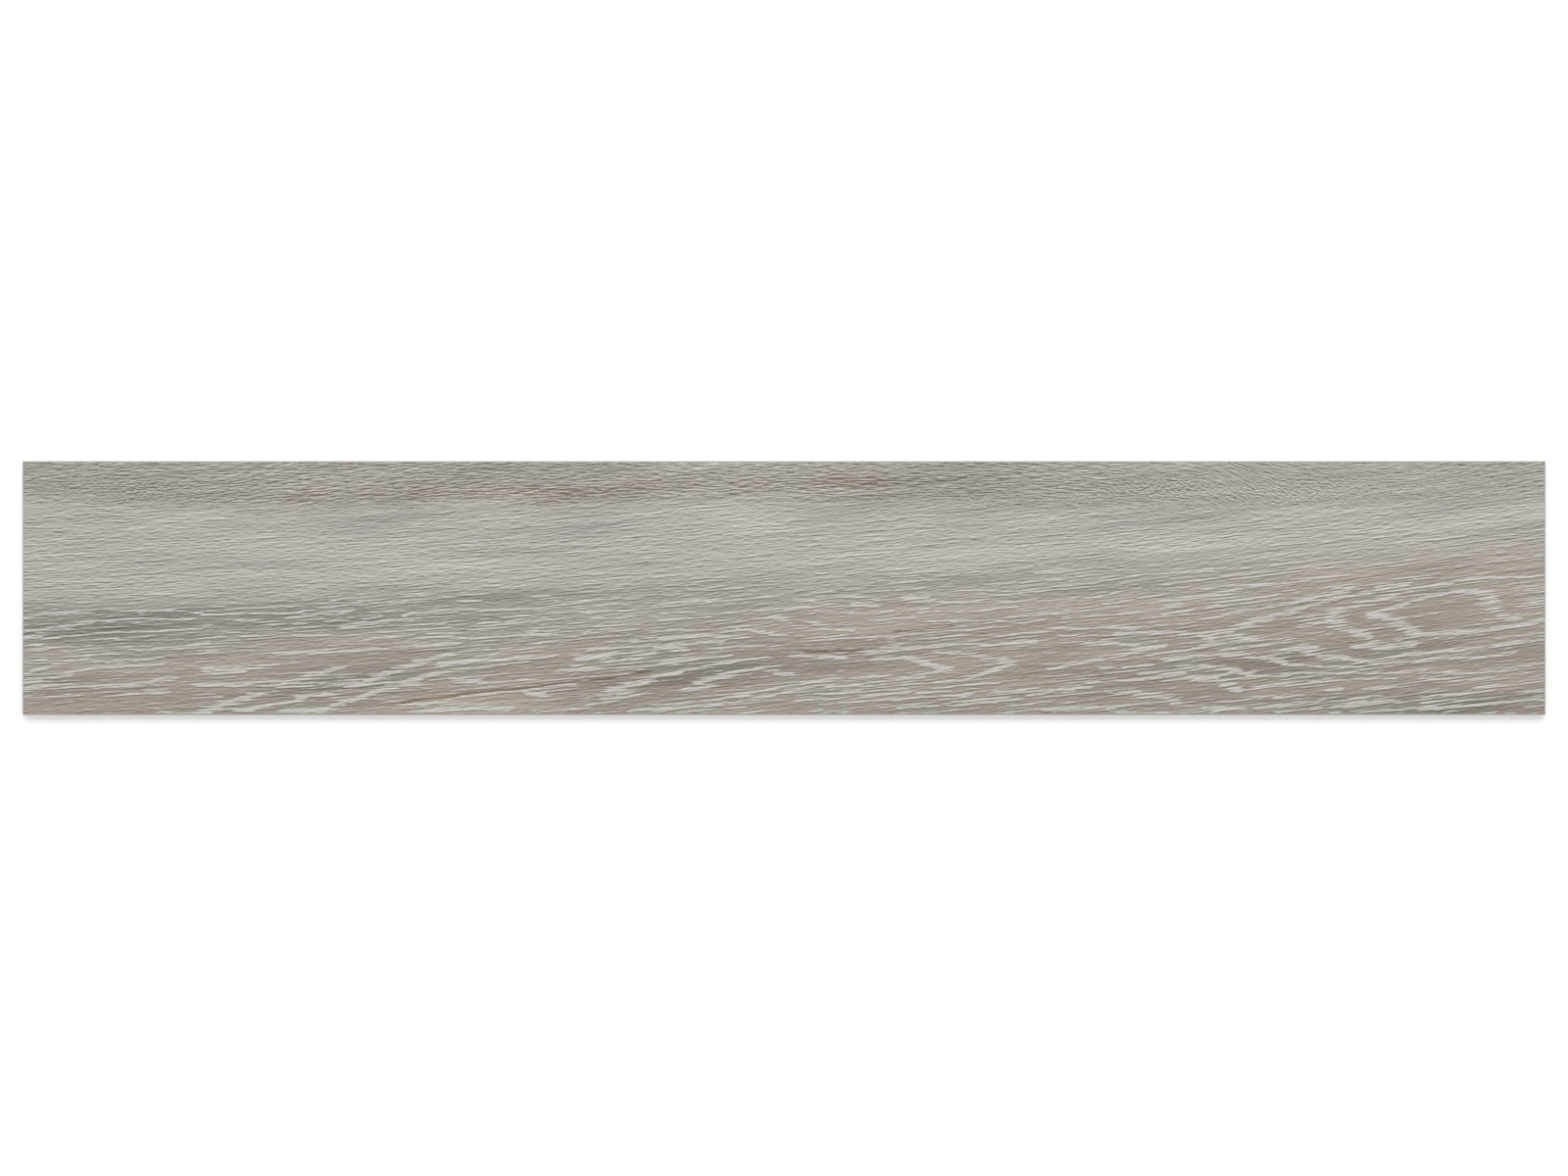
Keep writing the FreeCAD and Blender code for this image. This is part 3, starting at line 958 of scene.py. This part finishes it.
def limed_lines(tree, grain, figured, near, height, shift):
    """White lime, which fills the ridges along the drawn lines and along finer ones."""
    reach = add(tree, MATH, figured, FINE_REACH, operation="MULTIPLY", use_clamp=True)
    free = add(tree, MATH, 1.0, grain["calm"], operation="SUBTRACT", use_clamp=True)
    free = add(tree, MATH, free, reach, operation="MULTIPLY")
    fine = streaks(tree, grain["strand"], *FINE_LINE, shift=shift)
    fine = add(tree, RANGE, fine, *FINE_FROM, 0.0, FINE_NEARNESS, interpolation_type="SMOOTHSTEP")
    fine = add(tree, MATH, fine, free, operation="MULTIPLY")
    near = add(tree, MATH, near, DRAWN_NEARNESS, operation="MULTIPLY")
    early = add(tree, MATH, fine, near, operation="MAXIMUM")
    coat = add(tree, MATH, early, height, operation="ADD")
    return add(tree, RANGE, coat, *LIME_FILLS, 0.0, LIME_COVER, interpolation_type="SMOOTHSTEP")


def wood_print(tree, grain, figured, flecked, painted_relief_light):
    """The three zones' wood in painted shade and highlight, with the brown stain and painted brown shade."""
    # Painted relief light of the flecks, stronger where the wood is brown.
    fleck_painted_light = add(tree, MATH, grain["brown"], BROWN_DEEPENS, 1.0, operation="MULTIPLY_ADD")
    fleck_painted_light = add(tree, MATH, painted_relief_light, fleck_painted_light, operation="MULTIPLY")
    # The painted relief light picks each colour between its painted shade and its painted highlight.
    cream_light = add(tree, RANGE, painted_relief_light, *CREAM_LIGHT)
    fleck_light = add(tree, RANGE, fleck_painted_light, *FLECK_LIGHT)
    taupe_light = add(tree, RANGE, painted_relief_light, *TAUPE_LIGHT)
    taupe = add(tree, MIX, taupe_light, *map(linear, TAUPE_WOOD), data_type="RGBA")
    cream = add(tree, MIX, cream_light, *map(linear, CREAM_WOOD), data_type="RGBA")
    grey = add(tree, MIX, fleck_light, *map(linear, GREY_FLECKS), data_type="RGBA")
    wood = add(tree, MIX, figured, cream, taupe, data_type="RGBA")
    wood = add(tree, MIX, flecked, wood, grey, data_type="RGBA")
    clump = streaks(tree, grain["flecked_strand"], *STAIN_CLUMP, RAGGED_DETAIL)
    clump = add(tree, RANGE, clump, *CLUMP_FROM, 0.0, STAIN_IN_FLECKS)
    stain_and_shade = add(tree, MATH, flecked, clump, grain["brown"], operation="MULTIPLY_ADD")
    stain_and_shade = add(tree, MATH, grain["brown_line"], STAIN_IN_LINES, stain_and_shade, operation="MULTIPLY_ADD")
    # Painted shade: brown added on the undersides of the strokes, where the painted relief light is low.
    stain_and_shade = add(tree, MATH, painted_relief_light, PAINTED_SHADE_UNDER_STROKES, stain_and_shade, operation="MULTIPLY_ADD")
    stain_and_shade = add(tree, RANGE, stain_and_shade, *STAIN_AND_SHADE_SHOWS, 0.0, STAIN_AND_SHADE_COVER)
    return add(tree, MIX, stain_and_shade, wood, linear(BROWN_STAIN_AND_SHADE), data_type="RGBA")


def printed_glaze():
    """Matt glaze over an ink-jet print of limed oak: soft sheen, white pores, taupe late wood."""
    material, tree = new_material("matt_printed_glaze")
    grain = stored_grain(tree)
    figured, flecked = zones(tree, grain)

    # The grain's ridges, and the same a lip lower; the difference is painted shade and painted highlight.
    ridge, long_ridge = open_grain(tree, grain, figured, flecked, 0.0)
    under, long_under = open_grain(tree, grain, figured, flecked, STROKE_LIP)
    painted_relief_light = add(tree, MATH, ridge, under, operation="SUBTRACT")
    lime = limed_lines(tree, grain, figured, grain["figure"], long_ridge, 0.0)
    # Painted shade: a dark lip just under each white line.
    painted_lip_shade = limed_lines(tree, grain, figured, grain["figure_above"], long_under, STROKE_LIP)
    painted_lip_shade = add(tree, MATH, painted_lip_shade, lime, operation="SUBTRACT", use_clamp=True)

    wood = wood_print(tree, grain, figured, flecked, painted_relief_light)
    # The painted shade of the lip darkens the wood.
    wood = add(tree, MIX, painted_lip_shade, wood, linear(SHADED_LIP), data_type="RGBA")
    cloud = streaks(tree, grain["strand"], *CLOUD, RAGGED_DETAIL)
    shade = add(tree, RANGE, cloud, *CLOUD_FROM, *CLOUD_SHADE)
    wisp = streaks(tree, grain["strand"], *WISP)
    wisp = add(tree, RANGE, wisp, *CLOUD_FROM, *WISP_SHADE)
    shade = add(tree, MATH, shade, wisp, operation="ADD")
    shade = add(tree, MATH, grain["tone"], TONE_STEP, shade, operation="MULTIPLY_ADD")
    wood = add(tree, VECTOR_MATH, wood, operation="SCALE", named={"Scale": shade})
    # Painted relief light on the lime: painted shade under its strokes, painted highlight over them.
    lime_painted_light = add(tree, RANGE, painted_relief_light, *LIME_LIGHT)
    white = add(tree, MIX, lime_painted_light, *map(linear, WHITE_LIME), data_type="RGBA")
    wood = add(tree, MIX, lime, wood, white, data_type="RGBA")

    bump = add(tree, BUMP, *GLAZE_BUMP, named={"Height": ridge})
    rough = add(tree, RANGE, ridge, 0.0, 1.0, *GLAZE_ROUGHNESS)
    shader = add(tree, PRINCIPLED, named={
        "Base Color": wood,
        "Roughness": rough,
        "IOR": GLAZE_IOR,
        "Normal": bump,
    })
    add(tree, OUTPUT, shader)
    return material


def ground_body():
    """Porcelain body, ground square on the edges: matt, with a fine grain of paler and darker specks."""
    material, tree = new_material("ground_porcelain_body")
    place = add(tree, COORDINATES).node.outputs["Object"]
    size, detail = GROUND_GRAINS
    grains = add(tree, NOISE, place, named={"Scale": 1 / size, "Detail": detail})
    colour = add(tree, MIX, grains, *map(linear, GROUND_COLOURS), data_type="RGBA")
    bump = add(tree, BUMP, *GROUND_BUMP, named={"Height": grains})
    rough = add(tree, RANGE, grains, 0.0, 1.0, *GROUND_ROUGHNESS)
    shader = add(tree, PRINCIPLED, named={"Base Color": colour, "Roughness": rough, "Normal": bump})
    add(tree, OUTPUT, shader)
    return material


def pressed_back():
    """Unglazed pressed porcelain: dry, gritty and matt, clouded with pale kiln wash."""
    material, tree = new_material("pressed_unglazed_back")
    place = add(tree, COORDINATES).node.outputs["Object"]
    size, detail = BACK_CLOUDS
    cloudy = add(tree, NOISE, place, named={"Scale": 1 / size, "Detail": detail})
    colour = add(tree, MIX, cloudy, *map(linear, BACK_COLOURS), data_type="RGBA")
    size, detail = BACK_GRIT
    grit = add(tree, NOISE, place, named={"Scale": 1 / size, "Detail": detail})
    bump = add(tree, BUMP, *BACK_BUMP, named={"Height": grit})
    rough = add(tree, RANGE, grit, 0.0, 1.0, *BACK_ROUGHNESS)
    shader = add(tree, PRINCIPLED, named={"Base Color": colour, "Roughness": rough, "Normal": bump})
    add(tree, OUTPUT, shader)
    return material


def unfold_map(plank):
    """Lays the plank out flat for a baked print, each side in its own strip of the map."""
    mesh = plank.data
    size = HIGH - LOW
    layer = mesh.uv_layers.new(name="OFBake")
    for face in mesh.polygons:
        for direction, axes, start, stop in MAP_SIDES:
            if face.normal.dot(Vector(direction)) > MAP_LEAN:
                break
        for corner in face.loop_indices:
            place = mesh.vertices[mesh.loops[corner].vertex_index].co
            shares = [(place[axis] - LOW[axis]) / size[axis] for axis in axes]
            spot = [low + (high - low) * share for low, high, share in zip(start, stop, shares)]
            layer.data[corner].uv = spot


def finish_plank(plank):
    """Gives the face its glaze, the edges their ground body and the back its pressed skin."""
    for material in (printed_glaze(), ground_body(), pressed_back()):
        plank.data.materials.append(material)
    glazed, ground, pressed = range(3)
    edge_x = HIGH.x - GROUND_BAND
    edge_y = HIGH.y - GROUND_BAND
    finish = []
    for face in plank.data.polygons:
        inside = abs(face.center.x) < edge_x and abs(face.center.y) < edge_y
        flat = glazed if face.center.z > HIGH.z / 2 else pressed
        finish.append(flat if inside else ground)
    plank.data.polygons.foreach_set("material_index", np.array(finish, np.int32))


def build_plank():
    """The whole plank: the blank, its face, the pressed grain and the finishes."""
    plank = fired_blank()
    cut_rim(plank)
    weld_face(plank, face_sheet(plank))
    press_grain(plank)
    store_grain(plank)
    unfold_map(plank)
    finish_plank(plank)
    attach(plank, BODY)
    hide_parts(NODE)
    return plank


def build_floor():
    """A plain pale floor that shows white to the camera and keeps the tile's soft shadow."""
    bpy.ops.object.select_all(action="DESELECT")
    bpy.ops.mesh.primitive_plane_add(size=FLOOR_SIZE, location=(0, 0, LOW.z - FLOOR_GAP))
    floor = bpy.context.object
    floor.name = "studio_floor"
    material, tree = new_material("white_studio_floor")
    path = add(tree, LIGHT_PATH).node.outputs
    seen = add(tree, MATH, path["Is Camera Ray"], path["Is Glossy Ray"], operation="MAXIMUM")
    seen = add(tree, MATH, seen, path["Is Transmission Ray"], operation="MAXIMUM")
    lift = add(tree, MATH, seen, FLOOR_LIFT, operation="MULTIPLY")
    matt = add(tree, DIFFUSE, linear(FLOOR_COLOUR))
    glow = add(tree, EMISSION, named={"Strength": lift})
    add(tree, OUTPUT, add(tree, ADD_SHADER, matt, glow))
    floor.data.materials.append(material)


def build_light():
    """Soft studio light: an even white surround and one broad lamp, high to one side."""
    world = bpy.data.worlds.new("soft_surround")
    bpy.context.scene.world = world
    world.use_nodes = True
    tree = world.node_tree
    tree.nodes.clear()
    sky = add(tree, BACKGROUND, linear("#ffffff"), SURROUND_STRENGTH)
    add(tree, WORLD_OUTPUT, sky)
    lamp = bpy.data.lights.new("broad_lamp", "AREA")
    lamp.shape = "RECTANGLE"
    lamp.size, lamp.size_y = LAMP_SIZE
    lamp.energy = LAMP_WATTS
    holder = bpy.data.objects.new("broad_lamp", lamp)
    holder.location = LAMP_PLACE
    holder.rotation_euler = (-holder.location).to_track_quat("-Z", "Y").to_euler()
    bpy.context.collection.objects.link(holder)


def build_camera():
    """A long lens straight over the face, at the height where the plank fills the photo's width."""
    data = bpy.data.cameras.new("overhead")
    data.lens = LENS
    data.sensor_width = SENSOR_WIDTH
    frame_width = (HIGH.x - LOW.x) * IMAGE_WIDTH / TILE_PIXELS
    camera = bpy.data.objects.new("overhead", data)
    camera.location = (0, 0, HIGH.z + frame_width * data.lens / data.sensor_width)
    bpy.context.collection.objects.link(camera)
    bpy.context.scene.camera = camera


def main():
    build_plank()
    build_floor()
    build_light()
    build_camera()
    bpy.context.scene.view_settings.view_transform = "Standard"


main()
